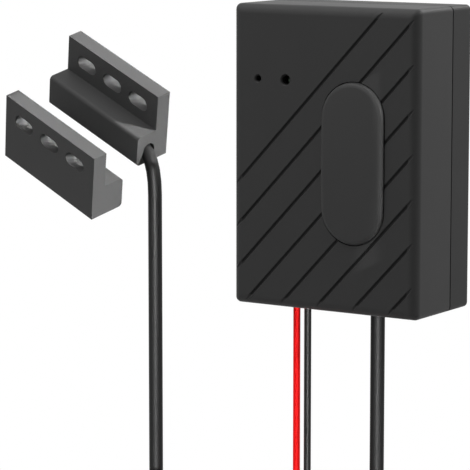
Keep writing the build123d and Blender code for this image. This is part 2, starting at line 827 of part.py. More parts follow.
def plug(x, low, top, width, thickness, pitch, wire_radius, grip, chamfer_size):
    """A two-way plug: sockets for the header's pins above, bores for the wires below."""
    with BuildSketch(Plane.XY.offset(low)) as block:
        with Locations((x, -cord_depth)):
            Rectangle(width, thickness)
    extrude(block.sketch, amount=top - low)
    chamfer(edges().filter_by(Axis.Z), chamfer_size)
    ways = [(x - pitch / 2, -cord_depth), (x + pitch / 2, -cord_depth)]
    bore(Plane.XY.offset(low), ways, wire_radius + grommet_bore_gap, grip)
    with BuildSketch(Plane.XY.offset(top - header_height / 2 - header_gap)) as sockets:
        with Locations(*ways):
            Rectangle(header_pin + 2 * header_gap, header_pin + 2 * header_gap)
    extrude(sockets.sketch, amount=header_height / 2 + header_gap, mode=Mode.SUBTRACT)


# The opener wires' header and plug, and the sensor cable's
with BuildPart() as wire_header:
    header(wires_x, wire_plug_low, wire_plug_top, wire_plug_width, wire_plug_thickness, wires_pitch)
keep(wire_header, "wire_header")

with BuildPart() as wire_plug:
    plug(wires_x, wire_plug_low, wire_plug_top, wire_plug_width, wire_plug_thickness, wires_pitch,
         wire_diameter / 2, wire_grip, header_wall / 2)
keep(wire_plug, "wire_plug")

with BuildPart() as sensor_header:
    header(cable_x, sensor_plug_low, sensor_plug_top, sensor_plug_width, sensor_plug_thickness, cable_core_pitch)
keep(sensor_header, "sensor_header")

with BuildPart() as sensor_plug:
    plug(cable_x, sensor_plug_low, sensor_plug_top, sensor_plug_width, sensor_plug_thickness, cable_core_pitch,
         cable_core_diameter / 2, sensor_grip, header_wall / 2)
keep(sensor_plug, "sensor_plug")


def grommet(x, half_span, radius, bores, wire_radius):
    """A rubber insert in the floor's notch, with a flange inside and outside."""
    skin = fit_gap / 2
    notch(Plane.XY.offset(bottom - grommet_flange_thickness), x, half_span, radius - skin,
          wall + 2 * grommet_flange_thickness, Mode.ADD)
    for level in (bottom - grommet_flange_thickness, floor_inside + skin):
        notch(Plane.XY.offset(level), x, half_span, radius + grommet_flange,
              grommet_flange_thickness - skin, Mode.ADD)
    bore(Plane.XY.offset(bottom - wall), [(place, -cord_depth) for place in bores],
         wire_radius + grommet_bore_gap, box_height / 2)


with BuildPart() as wire_grommet:
    grommet(wires_x, wires_pitch / 2, wire_grommet_radius, (red_x, black_x), wire_diameter / 2)
keep(wire_grommet, "wire_grommet")

with BuildPart() as cable_grommet:
    grommet(cable_x, 0, cable_grommet_radius, (cable_x,), cable_diameter / 2)
keep(cable_grommet, "cable_grommet")

# The tie round the jacket just inside the floor, which takes the pull on the cable
strain_low = floor_inside + grommet_flange_thickness + fit_gap
with BuildPart() as strain_tie:
    with BuildSketch(Plane.XY.offset(strain_low)):
        with Locations((cable_x, -cord_depth)):
            Circle(cable_diameter / 2 + grommet_bore_gap + strain_tie_thickness)
            with Locations((0, -cable_diameter / 2 - strain_tie_thickness)):
                Rectangle(strain_head, strain_head)
            Circle(cable_diameter / 2 + grommet_bore_gap, mode=Mode.SUBTRACT)
    extrude(amount=strain_tie_width)
keep(strain_tie, "strain_tie")

with BuildPart() as cable_cores:
    column(Plane.XY.offset(jacket_top + grommet_bore_gap),
           [(cable_x - cable_core_pitch / 2, -cord_depth), (cable_x + cable_core_pitch / 2, -cord_depth)],
           cable_core_diameter / 2, sensor_plug_low + sensor_grip - jacket_top - 2 * grommet_bore_gap)
keep(cable_cores, "cable_cores")

# The two halves of the sensor stand as the picture shows them. Each has its own face plane:
# X along the half, Y up and Z away from the surface that its flange is screwed to.
reed_face = Plane(Location(reed_place, pair_turn) * Plane.XZ.location)
magnet_origin = reed_face.from_local_coords((0, -pair_drop, pair_distance))
magnet_face = Plane(origin=magnet_origin, x_dir=-reed_face.x_dir, z_dir=-reed_face.z_dir)
block_front = flange_thickness + block_depth


def underside(face, level):
    """The plane across a half at a level above its underside, facing down."""
    return Plane(origin=face.from_local_coords((0, level, 0)), x_dir=face.x_dir, z_dir=-face.y_dir)


def end_plane(face, place):
    """The plane across a half at a place along it, facing along it."""
    return Plane(origin=face.from_local_coords((place, 0, 0)), x_dir=face.z_dir * -1, z_dir=face.x_dir)


def sensor_half(face):
    """The L-shaped moulding: slotted flange behind, hollow block in front, open below."""
    with BuildSketch(end_plane(face, -half_length / 2)) as section:
        with BuildLine():
            Polyline(
                (0, 0),
                (0, half_height),
                (-flange_thickness, half_height),
                (-flange_thickness, block_height),
                (-block_front, block_height),
                (-block_front, 0),
                close=True,
            )
        make_face()
        fillet(vertices().filter_by_position(Axis.X, -block_front - half_edge, -block_front + half_edge), block_round)
    extrude(section.sketch, amount=half_length)
    with BuildSketch(face.offset(-overrun)) as slots:
        with GridLocations(slot_pitch, 0, 3, 1):
            with Locations((0, slot_height)):
                SlotOverall(slot_length, slot_width)
    extrude(slots.sketch, amount=flange_thickness + 2 * overrun, mode=Mode.SUBTRACT)
    pocket_length = half_length - 2 * pocket_wall
    pocket_width = block_front - pocket_back - pocket_front
    pocket_height = block_height - pocket_floor
    with BuildSketch(underside(face, -overrun)) as pocket:
        with Locations((0, pocket_back + pocket_width / 2)):
            Rectangle(pocket_length, pocket_width)
    extrude(pocket.sketch, amount=-pocket_height - overrun, mode=Mode.SUBTRACT)


def potting_block(face, top):
    """The resin that fills a half's pocket up to a little above its underside."""
    with BuildSketch(underside(face, potting_sink)) as block:
        with Locations((0, pocket_back + (block_front - pocket_back - pocket_front) / 2)):
            Rectangle(half_length - 2 * pocket_wall - 2 * seat_gap,
                      block_front - pocket_back - pocket_front - 2 * seat_gap)
    extrude(block.sketch, amount=-(top - potting_sink))


pocket_top = block_height - pocket_floor - seat_gap
pocket_middle = pocket_back + (block_front - pocket_back - pocket_front) / 2
cable_exit = end_plane(reed_face, half_length / 2)
cable_axis = (-cable_exit_depth, cable_exit_level)

with BuildPart() as reed_housing:
    sensor_half(reed_face)
    bore(cable_exit.offset(-pocket_wall - overrun), [cable_axis], cable_diameter / 2 + grommet_bore_gap,
         pocket_wall + 2 * overrun)
keep(reed_housing, "reed_housing")

# The reed switch, its blades and the cores lie along the half, inside the resin
reed_start = end_plane(reed_face, -glass_length / 2 - glass_length / 4)
blade_axis = (-pocket_middle, reed_level)
with BuildPart() as reed_blades:
    column(reed_start.offset(-blade_length / 3), [blade_axis], blade_radius, glass_length / 2 + blade_length / 3)
    column(reed_start.offset(glass_length / 2 + blade_overlap / 2), [blade_axis], blade_radius,
           glass_length / 2 + blade_length / 3)
keep(reed_blades, "reed_blades")

with BuildPart() as reed_glass:
    column(reed_start, [blade_axis], glass_radius, glass_length)
    bore(reed_start, [blade_axis], blade_radius, glass_length)
keep(reed_glass, "reed_glass")

core_start = half_length / 2 - cable_inside
core_far = -glass_length * 3 / 4 - blade_length / 3
core_places = ((-cable_exit_depth, cable_exit_level + cable_core_diameter),
               (-cable_exit_depth, cable_exit_level - cable_core_diameter))
near_blade_end = glass_length / 4 + blade_length / 3 + blade_overlap / 2
with BuildPart() as reed_cores:
    column(end_plane(reed_face, near_blade_end), [core_places[0]], cable_core_diameter / 2,
           core_start - near_blade_end - seat_gap)
    column(end_plane(reed_face, core_far), [core_places[1]], cable_core_diameter / 2,
           core_start - core_far - seat_gap)
keep(reed_cores, "reed_cores")

with BuildPart() as reed_resin:
    potting_block(reed_face, pocket_top)
    bore(reed_start.offset(-blade_length / 3), [blade_axis], blade_radius,
         glass_length + 2 * blade_length / 3 + blade_overlap / 2)
    bore(reed_start, [blade_axis], glass_radius, glass_length)
    bore(end_plane(reed_face, near_blade_end), [core_places[0]], cable_core_diameter / 2, half_length / 2)
    bore(end_plane(reed_face, core_far), [core_places[1]], cable_core_diameter / 2, half_length)
    bore(end_plane(reed_face, core_start - seat_gap), [cable_axis], cable_diameter / 2 + grommet_bore_gap,
         half_length / 2)
keep(reed_resin, "reed_resin")

with BuildPart() as magnet_housing:
    sensor_half(magnet_face)
keep(magnet_housing, "magnet_housing")

with BuildPart() as bar_magnet:
    with BuildSketch(end_plane(magnet_face, -magnet_length / 2)):
        with Locations((-pocket_middle, magnet_level)):
            Rectangle(magnet_side, magnet_side)
    extrude(amount=magnet_length)
    chamfer(edges(), half_edge)
keep(bar_magnet, "bar_magnet")

with BuildPart() as magnet_resin:
    potting_block(magnet_face, pocket_top)
    with BuildSketch(end_plane(magnet_face, -magnet_length / 2 - seat_gap)):
        with Locations((-pocket_middle, magnet_level)):
            Rectangle(magnet_side + 2 * seat_gap, magnet_side + 2 * seat_gap)
    extrude(amount=magnet_length + 2 * seat_gap, mode=Mode.SUBTRACT)
keep(magnet_resin, "magnet_resin")


run_share = 0.45


# Cords. A free stretch is straight runs joined by tangent arcs, each as large as its runs allow.
def corner_radii(points):
    """The radius at each corner of a route, from the shorter of its two runs."""
    radii = []
    for before, corner, after in zip(points, points[1:], points[2:]):
        first = Vector(corner) - Vector(before)
        second = Vector(after) - Vector(corner)
        half_turn = radians(first.get_angle(second)) / 2
        radii.append(min(first.length, second.length) * run_share / tan(half_turn))
    return radii


def tube(points, diameter, name):
    """A cord's tube along its route, with its volume set against its length."""
    radii = corner_radii(points)
    with BuildPart() as stretch:
        with BuildLine() as route:
            FilletPolyline(*points, radius=radii)
        way = route.wire()
        with BuildSketch(Plane(origin=way @ 0, z_dir=way % 0)):
            Circle(diameter / 2)
        sweep(path=way)
    expected = way.length * pi * diameter ** 2 / 4
    print(name, "length", round(way.length, 1), "radii", [round(r, 1) for r in radii],
          "volume against section by length", round(stretch.part.volume / expected, 4))
    return stretch


# A coil's turns lie in flat spirals, in and out again, and climb a layer in the half turn
# about each reversal. The way it goes round is 1 or -1 as seen by the viewer.
def coil_shape(centre_x, centre_z, first_depth, layer_step, outer, quarters, start_angle, way, pitch):
    """Radius, depth and angle along the coil, as a function of quarter turns."""
    reversals = [sum(quarters[:n + 1]) for n in range(len(quarters) - 1)]

    def radius_at(q):
        radius = outer
        start = 0
        for layer, count in enumerate(quarters):
            step = min(max(q - start, 0), count)
            radius += (-1 if layer % 2 == 0 else 1) * pitch * step / 4
            start += count
        return radius

    def depth_at(q):
        climbed = sum(min(max((q - reversal + 1) / 2, 0), 1) for reversal in reversals)
        return first_depth + layer_step * climbed

    def point_at(q):
        angle = start_angle + way * q * pi / 2
        radius = radius_at(q)
        return Vector(centre_x + radius * cos(angle), -depth_at(q), centre_z + radius * sin(angle))

    return point_at


def biarc_middle(start, start_way, end, end_way):
    """The point where two tangent arcs from start to end meet."""
    chord = end - start
    ways = start_way + end_way
    a = 2 * (start_way.dot(end_way) - 1)
    b = -2 * chord.dot(ways)
    c = chord.dot(chord)
    reach = (-b - sqrt(b * b - 4 * a * c)) / (2 * a)
    return (start + end + (start_way - end_way) * reach) * (1 / 2)


def wound(point_at, total, diameter, name):
    """One unbroken tube along a coil, on biarcs of a quarter turn, straight at both ends."""
    fine = 0.01
    ways = []
    for q in range(total + 1):
        ahead = point_at(min(q + fine, total))
        behind = point_at(max(q - fine, 0))
        ways.append((ahead - behind).normalized())
    up_or_down = Vector(0, 0, 1)
    ways[0] = up_or_down * (1 if ways[0].Z > 0 else -1)
    ways[-1] = up_or_down * (1 if ways[-1].Z > 0 else -1)
    nodes = [point_at(q) for q in range(total + 1)]
    entry = nodes[0] - ways[0] * diameter
    leaving = nodes[-1] + ways[-1] * diameter
    with BuildPart() as coil:
        with BuildLine() as route:
            Line(entry, nodes[0])
            for q in range(total):
                middle = biarc_middle(nodes[q], ways[q], nodes[q + 1], ways[q + 1])
                first = TangentArc(nodes[q], middle, tangent=ways[q])
                TangentArc(middle, nodes[q + 1], tangent=first % 1)
            Line(nodes[-1], leaving)
        with BuildSketch(Plane(origin=entry, z_dir=ways[0])):
            Circle(diameter / 2)
        way = route.wire()
        sweep(path=way)
    length = way.length
    expected = length * pi * diameter ** 2 / 4
    samples = [point_at(q / 6) for q in range(6 * total + 1)]
    least = min(
        (samples[i] - samples[j]).length for i in range(len(samples)) for j in range(i + 12, len(samples))
    )
    print(name, "length", round(length, 1), "turns", total / 4, "least gap to itself", round(least - diameter, 2),
          "volume against section by length", round(coil.part.volume / expected, 4))
    return coil, entry, leaving, length


def coil_ring(centre_x, centre_z, quarters, outer, pitch, angle, depths, diameter, strap_width, head_side):
    """A strap round all the turns at one angle of a coil, with its locking head outside."""
    inner = outer - max(quarters) * pitch / 4
    across = outer - inner + diameter + 2 * tie_clear
    along = depths[1] - depths[0] + diameter + 2 * tie_clear
    middle = (outer + inner) / 2
    radial = Vector(cos(angle), 0, sin(angle))
    around = Vector(-sin(angle), 0, cos(angle))
    place = Vector(centre_x, -(depths[0] + depths[1]) / 2, centre_z) + radial * middle
    strap = Plane(origin=place - around * (strap_width / 2), x_dir=radial, z_dir=around)
    corner = diameter / 2
    with BuildSketch(strap) as band:
        RectangleRounded(across + 2 * tie_thickness, along + 2 * tie_thickness, corner + tie_thickness)
        RectangleRounded(across, along, corner, mode=Mode.SUBTRACT)
    extrude(band.sketch, amount=strap_width)
    head_low = (head_side - strap_width) / 2
    with BuildSketch(strap.offset(-head_low)) as head:
        with Locations((across / 2 + tie_thickness + head_side / 4, 0)):
            Rectangle(head_side / 2, head_side)
    extrude(head.sketch, amount=head_side)
    with BuildSketch(strap) as strap_tail:
        with Locations((across / 2 + tie_thickness + head_side / 2 + tie_strap_tail / 2, 0)):
            Rectangle(tie_strap_tail, tie_thickness)
    extrude(strap_tail.sketch, amount=strap_width)


# The sensor cable: out of the reed half and straight down, round its coil, and up into the box
cable_pitch = cable_diameter + turn_gap
cable_start = cable_exit.from_local_coords((*cable_axis, -cable_inside))
cable_corner = cable_exit.from_local_coords((*cable_axis, cable_bend_reach))
hang_x = cable_corner.X
hang_y = cable_corner.Y
sensor_coil_x = (hang_x + cable_x) / 2
sensor_layers = len(sensor_coil_quarters)
sensor_first_depth = cord_depth + (sensor_layers - 1) * cable_pitch / 2
sensor_point_at = coil_shape(sensor_coil_x, sensor_coil_z, sensor_first_depth, -cable_pitch, sensor_coil_radius,
                             sensor_coil_quarters, pi, 1, cable_pitch)
sensor_coil, sensor_entry, sensor_leaving, sensor_coil_length = wound(
    sensor_point_at, sum(sensor_coil_quarters), cable_diameter, "sensor_cable_coil")
keep(sensor_coil, "sensor_cable_coil")

sensor_drop_route = [
    tuple(cable_start),
    tuple(cable_corner),
    (hang_x, hang_y, view_end_z),
    (sensor_entry.X, sensor_entry.Y, stretch_end_z),
    tuple(sensor_entry),
]
sensor_drop = tube(sensor_drop_route, cable_diameter, "sensor_cable")
keep(sensor_drop, "sensor_cable")

box_rise_route = [
    tuple(sensor_leaving),
    (sensor_leaving.X, sensor_leaving.Y, stretch_end_z),
    (cable_x, -cord_depth, view_end_z),
    (cable_x, -cord_depth, jacket_top),
]
box_rise = tube(box_rise_route, cable_diameter, "box_cable")
keep(box_rise, "box_cable")

# The opener's two wires, each down from the plug, round its own coil, with a short bare end
wire_pitch = wire_diameter + turn_gap
wire_layers = len(wire_coil_quarters)
wire_stack = (wire_layers - 1) * wire_pitch
coils_middle_depth = cord_depth
wire_coil_x = wires_x - wire_coil_radius
wire_plug_bottom = wire_plug_low + wire_grip - seat_gap
for colour, wire_x, side in (("red", red_x, 1), ("black", black_x, -1)):
    first_depth = coils_middle_depth + side * wire_pitch / 2
    point_at = coil_shape(wire_coil_x, wire_coil_z, first_depth, side * wire_pitch, wire_coil_radius,
                          wire_coil_quarters, 0, -1, wire_pitch)
    coil, entry, leaving, coil_length = wound(point_at, sum(wire_coil_quarters), wire_diameter,
                                              colour + "_wire_coil")
    keep(coil, colour + "_wire_coil")
    wire_route = [
        (wire_x, -cord_depth, wire_plug_bottom),
        (wire_x, -cord_depth, view_end_z),
        (entry.X, entry.Y, wire_bend_z),
        tuple(entry),
    ]
    wire = tube(wire_route, wire_diameter, colour + "_wire")
    keep(wire, colour + "_wire")
    with BuildPart() as tail:
        column(Plane(origin=leaving, z_dir=(0, 0, -1)), [(0, 0)], wire_diameter / 2, tail_length)
    keep(tail, colour + "_wire_tail")
    with BuildPart() as bare_end:
        column(Plane(origin=leaving - Vector(0, 0, tail_length), z_dir=(0, 0, -1)), [(0, 0)],
               core_diameter / 2, bare_length)
        fillet(faces().sort_by(Axis.Z)[0].edges(), core_diameter / 4)
    keep(bare_end, colour + "_wire_bare_end")

# The straps that hold the coils
with BuildPart() as wires_tie:
    outer_depth = wire_pitch / 2 + wire_stack
    coil_ring(wire_coil_x, wire_coil_z, wire_coil_quarters, wire_coil_radius, wire_pitch, pi,
              (coils_middle_depth - outer_depth, coils_middle_depth + outer_depth), wire_diameter,
              tie_width_wires, tie_head_wires)
keep(wires_tie, "wires_tie")

with BuildPart() as cable_tie:
    half_stack = (sensor_layers - 1) * cable_pitch / 2
    coil_ring(sensor_coil_x, sensor_coil_z, sensor_coil_quarters, sensor_coil_radius, cable_pitch, -pi / 2,
              (cord_depth - half_stack, cord_depth + half_stack), cable_diameter,
              tie_width_cable, tie_head_cable)
keep(cable_tie, "cable_tie")
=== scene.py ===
"""The looks of the garage door controller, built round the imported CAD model. Lengths are in metres
where no comment says millimetres."""

from math import cos, pi, radians, sin

import bmesh
import bpy
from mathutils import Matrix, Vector


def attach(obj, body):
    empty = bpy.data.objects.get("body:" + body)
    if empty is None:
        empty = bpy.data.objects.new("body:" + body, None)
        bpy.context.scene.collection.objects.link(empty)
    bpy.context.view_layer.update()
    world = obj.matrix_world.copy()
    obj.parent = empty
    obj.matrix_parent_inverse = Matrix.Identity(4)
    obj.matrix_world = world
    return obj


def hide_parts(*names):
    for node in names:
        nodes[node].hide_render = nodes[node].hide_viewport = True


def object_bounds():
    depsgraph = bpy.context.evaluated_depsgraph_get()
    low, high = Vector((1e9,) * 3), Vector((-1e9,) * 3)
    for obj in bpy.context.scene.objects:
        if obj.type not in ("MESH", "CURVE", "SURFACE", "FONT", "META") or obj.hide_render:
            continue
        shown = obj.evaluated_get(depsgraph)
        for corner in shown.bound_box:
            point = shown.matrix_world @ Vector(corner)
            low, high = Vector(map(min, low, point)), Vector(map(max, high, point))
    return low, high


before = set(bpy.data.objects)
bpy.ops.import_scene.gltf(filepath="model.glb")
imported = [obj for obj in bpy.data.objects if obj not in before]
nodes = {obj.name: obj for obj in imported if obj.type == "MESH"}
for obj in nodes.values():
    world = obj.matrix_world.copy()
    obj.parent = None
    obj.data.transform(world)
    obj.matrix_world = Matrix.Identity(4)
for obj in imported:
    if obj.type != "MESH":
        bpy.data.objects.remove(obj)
cad_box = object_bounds()

MM = 0.001
scene = bpy.context.scene


# The photograph's camera: a long lens that looks down a little, from the right of the box. It is
# aimed at the origin and then set aside and below by the lengths here. The focal share is the focal
# length as a share of the picture's width, both in pixels.

CAMERA_AZIMUTH = radians(33.211)
CAMERA_ELEVATION = radians(8.149)
CAMERA_DISTANCE = 800 * MM
CAMERA_ASIDE = -43.189 * MM
CAMERA_BELOW = -25.608 * MM
SENSOR_WIDTH = 36.0
FOCAL_SHARE = 2644.27 / 470


def make_camera():
    """A camera at the photograph's viewing angle."""
    way = Vector((-sin(CAMERA_AZIMUTH) * cos(CAMERA_ELEVATION), cos(CAMERA_AZIMUTH) * cos(CAMERA_ELEVATION),
                  -sin(CAMERA_ELEVATION)))
    right = Vector((cos(CAMERA_AZIMUTH), sin(CAMERA_AZIMUTH), 0))
    up = right.cross(way)
    data = bpy.data.cameras.new("camera")
    data.sensor_width = SENSOR_WIDTH
    data.lens = SENSOR_WIDTH * FOCAL_SHARE
    data.clip_start = 0.01
    data.clip_end = 50.0
    camera = bpy.data.objects.new("camera", data)
    scene.collection.objects.link(camera)
    camera.location = right * CAMERA_ASIDE + up * CAMERA_BELOW - way * CAMERA_DISTANCE
    camera.rotation_euler = way.to_track_quat("-Z", "Y").to_euler()
    scene.camera = camera


make_camera()
scene.view_settings.view_transform = "Standard"


# The cords, in millimetres. Each follows the points of its route, and a loop gives its coil's turns.
# The photograph's lower edge is near VIEW_END_Z, and the points a hold away from it keep the cords
# straight down to there.

CORD_DEPTH = 13.5
TURN_GAP = 0.5
VIEW_END_Z = -102.0
NEAR_HOLD = 4.0
WIRE_HOLD = 8.0
FAR_HOLD = 10.0
STRETCH_END_Z = -156.0
WIRE_BEND_Z = -112.0
POINTS_A_TURN = 16

CABLE_DIAMETER = 4.4
CABLE_X = 8.3
CABLE_START = (-78.295, -14.273, -1.016)
CABLE_CORNER = (-71.513, -15.379, -4.022)
CABLE_HANGS_Z = -30.0
JACKET_TOP = -34.0
CABLE_COIL = {"radius": 31.0, "z": -190.0, "quarters": (13, 12, 13, 12)}

WIRE_DIAMETER = 2.2
RED_X = -20.2
BLACK_X = -16.3
WIRE_TOP = -30.05
WIRE_COIL = {"radius": 15.6, "z": -124.0, "quarters": (10, 10, 10, 10)}
TAIL_LENGTH = 16.0


def coil_points(x, z, first_depth, layer_step, outer, quarters, start_angle, way, pitch):
    """The control points of a coil's turns, set out a little so that the curve runs on its radius."""
    reversals = [sum(quarters[:n + 1]) for n in range(len(quarters) - 1)]
    step = 4 / POINTS_A_TURN
    reach = 2 / (1 + cos(2 * pi / POINTS_A_TURN))
    points = []
    for number in range(int(sum(quarters) / step) + 1):
        q = number * step
        radius = outer
        start = 0
        for layer, count in enumerate(quarters):
            radius += (-1 if layer % 2 == 0 else 1) * pitch * min(max(q - start, 0), count) / 4
            start += count
        climbed = sum(min(max((q - reversal + 1) / 2, 0), 1) for reversal in reversals)
        angle = start_angle + way * q * pi / 2
        points.append((x + reach ** 0.5 * radius * cos(angle), -first_depth - layer_step * climbed,
                       z + reach ** 0.5 * radius * sin(angle)))
    return points


def cord_curve(name, points, diameter):
    """A round tube on one smooth spline. Its radius is the points' own, because a curve's box is
    measured with that, and the bevel only takes it over."""
    data = bpy.data.curves.new(name, "CURVE")
    data.dimensions = "3D"
    data.bevel_depth = 1.0
    data.bevel_resolution = 5
    data.resolution_u = 6
    data.use_fill_caps = True
    spline = data.splines.new("NURBS")
    spline.points.add(len(points) - 1)
    for point, place in zip(spline.points, points):
        point.co = (place[0] * MM, place[1] * MM, place[2] * MM, 1)
        point.radius = diameter / 2 * MM
    spline.order_u = 3
    spline.use_endpoint_u = True
    piece = bpy.data.objects.new(name, data)
    scene.collection.objects.link(piece)
    return piece


def make_sensor_cable():
    """The two-core cable: from the reed half down, round its coil and up into the box."""
    pitch = CABLE_DIAMETER + TURN_GAP
    first_depth = CORD_DEPTH + (len(CABLE_COIL["quarters"]) - 1) * pitch / 2
    coil_x = (CABLE_CORNER[0] + CABLE_X) / 2
    turns = coil_points(coil_x, CABLE_COIL["z"], first_depth, -pitch, CABLE_COIL["radius"],
                        CABLE_COIL["quarters"], pi, 1, pitch)
    entry_x = turns[0][0]
    leaving_x, leaving_y = turns[-1][0], turns[-1][1]
    hang_x, hang_y, _ = CABLE_CORNER
    points = [CABLE_START, CABLE_CORNER, (hang_x, hang_y, CABLE_HANGS_Z),
              (hang_x, hang_y, VIEW_END_Z + NEAR_HOLD), (hang_x, hang_y, VIEW_END_Z - FAR_HOLD),
              (entry_x, -first_depth, STRETCH_END_Z)]
    points += turns
    points += [(leaving_x, leaving_y, STRETCH_END_Z), (CABLE_X, -CORD_DEPTH, VIEW_END_Z - NEAR_HOLD),
               (CABLE_X, -CORD_DEPTH, VIEW_END_Z + FAR_HOLD), (CABLE_X, -CORD_DEPTH, JACKET_TOP)]
    cable = cord_curve("sensor_cable_line", points, CABLE_DIAMETER)
    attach(cable, "controller")
    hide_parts("sensor_cable", "sensor_cable_coil", "box_cable")
    return cable


def make_wire(colour, x, side):
    """One of the opener's wires: down from its plug, round its coil, to a bare end."""
    pitch = WIRE_DIAMETER + TURN_GAP
    coil_x = (RED_X + BLACK_X) / 2 - WIRE_COIL["radius"]
    first_depth = CORD_DEPTH + side * pitch / 2
    turns = coil_points(coil_x, WIRE_COIL["z"], first_depth, side * pitch, WIRE_COIL["radius"],
                        WIRE_COIL["quarters"], 0, -1, pitch)
    last_x, last_y = turns[-1][0], turns[-1][1]
    points = [(x, -CORD_DEPTH, WIRE_TOP), (x, -CORD_DEPTH, VIEW_END_Z + WIRE_HOLD),
              (x, -CORD_DEPTH, VIEW_END_Z), (turns[0][0], turns[0][1], WIRE_BEND_Z)]
    points += turns
    points += [(last_x, last_y, WIRE_COIL["z"] - WIRE_DIAMETER - TAIL_LENGTH)]
    wire = cord_curve(colour + "_wire_line", points, WIRE_DIAMETER)
    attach(wire, "controller")
    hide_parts(colour + "_wire", colour + "_wire_coil", colour + "_wire_tail")
    return wire


sensor_cable = make_sensor_cable()
red_wire = make_wire("red", RED_X, 1)
black_wire = make_wire("black", BLACK_X, -1)


# Materials. Each is a moulded, drawn or plated surface with its own fine grain.

BUMP_DEPTH = 0.1 * MM
BLOTCHES_A_METRE = 90.0
ROUGHNESS_SWING = 0.06
SHARP_ANGLE = radians(32)

# The front cover's colour is darkened, as painted shade in its grooves and holes, between these two depths
# below its face, inside this half width and half height, to this share of its colour
FRONT_RECESS_SHADE = (-0.03195, -0.03175, 0.0283, 0.042, 0.25)


def linear(grey):
    """A grey or a colour of the photograph's kind, from 0 to 255, as the shader's own value."""
    values = grey if isinstance(grey, tuple) else (grey, grey, grey)
    return tuple(((v / 255 + 0.055) / 1.055) ** 2.4 for v in values) + (1.0,)


def paint_recess_shade(tree, place, tint, shader, recess_shade):
    """Paint shade into what lies below the front face, inside its flat part: the grooves and holes."""
    face_y, full_y, half_x, half_z, share = recess_shade
    axes = tree.nodes.new("ShaderNodeSeparateXYZ")
    tree.links.new(place.outputs["Object"], axes.inputs[0])
    below = tree.nodes.new("ShaderNodeMapRange")
    below.inputs["From Min"].default_value = face_y
    below.inputs["From Max"].default_value = full_y
    tree.links.new(axes.outputs["Y"], below.inputs["Value"])
    amount = below.outputs["Result"]
    for axis, half in (("X", half_x), ("Z", half_z)):
        size = tree.nodes.new("ShaderNodeMath")
        size.operation = "ABSOLUTE"
        tree.links.new(axes.outputs[axis], size.inputs[0])
        inside = tree.nodes.new("ShaderNodeMath")
        inside.operation = "LESS_THAN"
        inside.inputs[1].default_value = half
        tree.links.new(size.outputs[0], inside.inputs[0])
        both = tree.nodes.new("ShaderNodeMath")
        both.operation = "MULTIPLY"
        tree.links.new(amount, both.inputs[0])
        tree.links.new(inside.outputs[0], both.inputs[1])
        amount = both.outputs[0]
    dark = tree.nodes.new("ShaderNodeMix")
    dark.data_type = "RGBA"
    dark.inputs[7].default_value = tuple(c * share for c in tint.inputs[6].default_value[:3]) + (1.0,)
    tree.links.new(amount, dark.inputs[0])
    tree.links.new(tint.outputs[2], dark.inputs[6])
    tree.links.new(dark.outputs[2], shader.inputs["Base Color"])


def material(name, colour, rough, gloss=0.5, metal=0.0, grain=0.3, bump=0.1, blotch=0.08, recess_shade=None):
    """Principled plastic or metal. Grain is the bump's size in millimetres, and blotch how far its
    colour varies over a few millimetres, as its roughness does."""
    made = bpy.data.materials.new(name)
    made.use_nodes = True
    tree = made.node_tree
    shader = tree.nodes["Principled BSDF"]
    shader.inputs["Metallic"].default_value = metal
    shader.inputs["Specular IOR Level"].default_value = gloss
    place = tree.nodes.new("ShaderNodeTexCoord")
    fine = tree.nodes.new("ShaderNodeTexNoise")
    fine.inputs["Scale"].default_value = 1 / (grain * MM)
    fine.inputs["Detail"].default_value = 3.0
    broad = tree.nodes.new("ShaderNodeTexNoise")
    broad.inputs["Scale"].default_value = BLOTCHES_A_METRE
    broad.inputs["Detail"].default_value = 5.0
    tree.links.new(place.outputs["Object"], fine.inputs["Vector"])
    tree.links.new(place.outputs["Object"], broad.inputs["Vector"])
    relief = tree.nodes.new("ShaderNodeBump")
    relief.inputs["Strength"].default_value = bump
    relief.inputs["Distance"].default_value = BUMP_DEPTH
    tree.links.new(fine.outputs["Fac"], relief.inputs["Height"])
    tree.links.new(relief.outputs["Normal"], shader.inputs["Normal"])
    tint = tree.nodes.new("ShaderNodeMix")
    tint.data_type = "RGBA"
    tint.inputs[6].default_value = tuple(c * (1 - blotch) for c in colour[:3]) + (1.0,)
    tint.inputs[7].default_value = tuple(min(c * (1 + blotch), 1.0) for c in colour[:3]) + (1.0,)
    tree.links.new(broad.outputs["Fac"], tint.inputs[0])
    tree.links.new(tint.outputs[2], shader.inputs["Base Color"])
    # Painted shade in the front face's grooves and holes, when recess_shade is given
    if recess_shade:
        paint_recess_shade(tree, place, tint, shader, recess_shade)
    spread = tree.nodes.new("ShaderNodeMapRange")
    spread.inputs["To Min"].default_value = max(rough - ROUGHNESS_SWING, 0.02)
    spread.inputs["To Max"].default_value = min(rough + ROUGHNESS_SWING, 1.0)
    tree.links.new(broad.outputs["Fac"], spread.inputs["Value"])
    tree.links.new(spread.outputs["Result"], shader.inputs["Roughness"])
    return made


# The front cover gets painted shade in its grooves and holes, below its face
housing = material("housing_plastic", linear(51), 0.5, gloss=0.1, grain=0.35, bump=0.08, blotch=0.05,
                   recess_shade=FRONT_RECESS_SHADE)
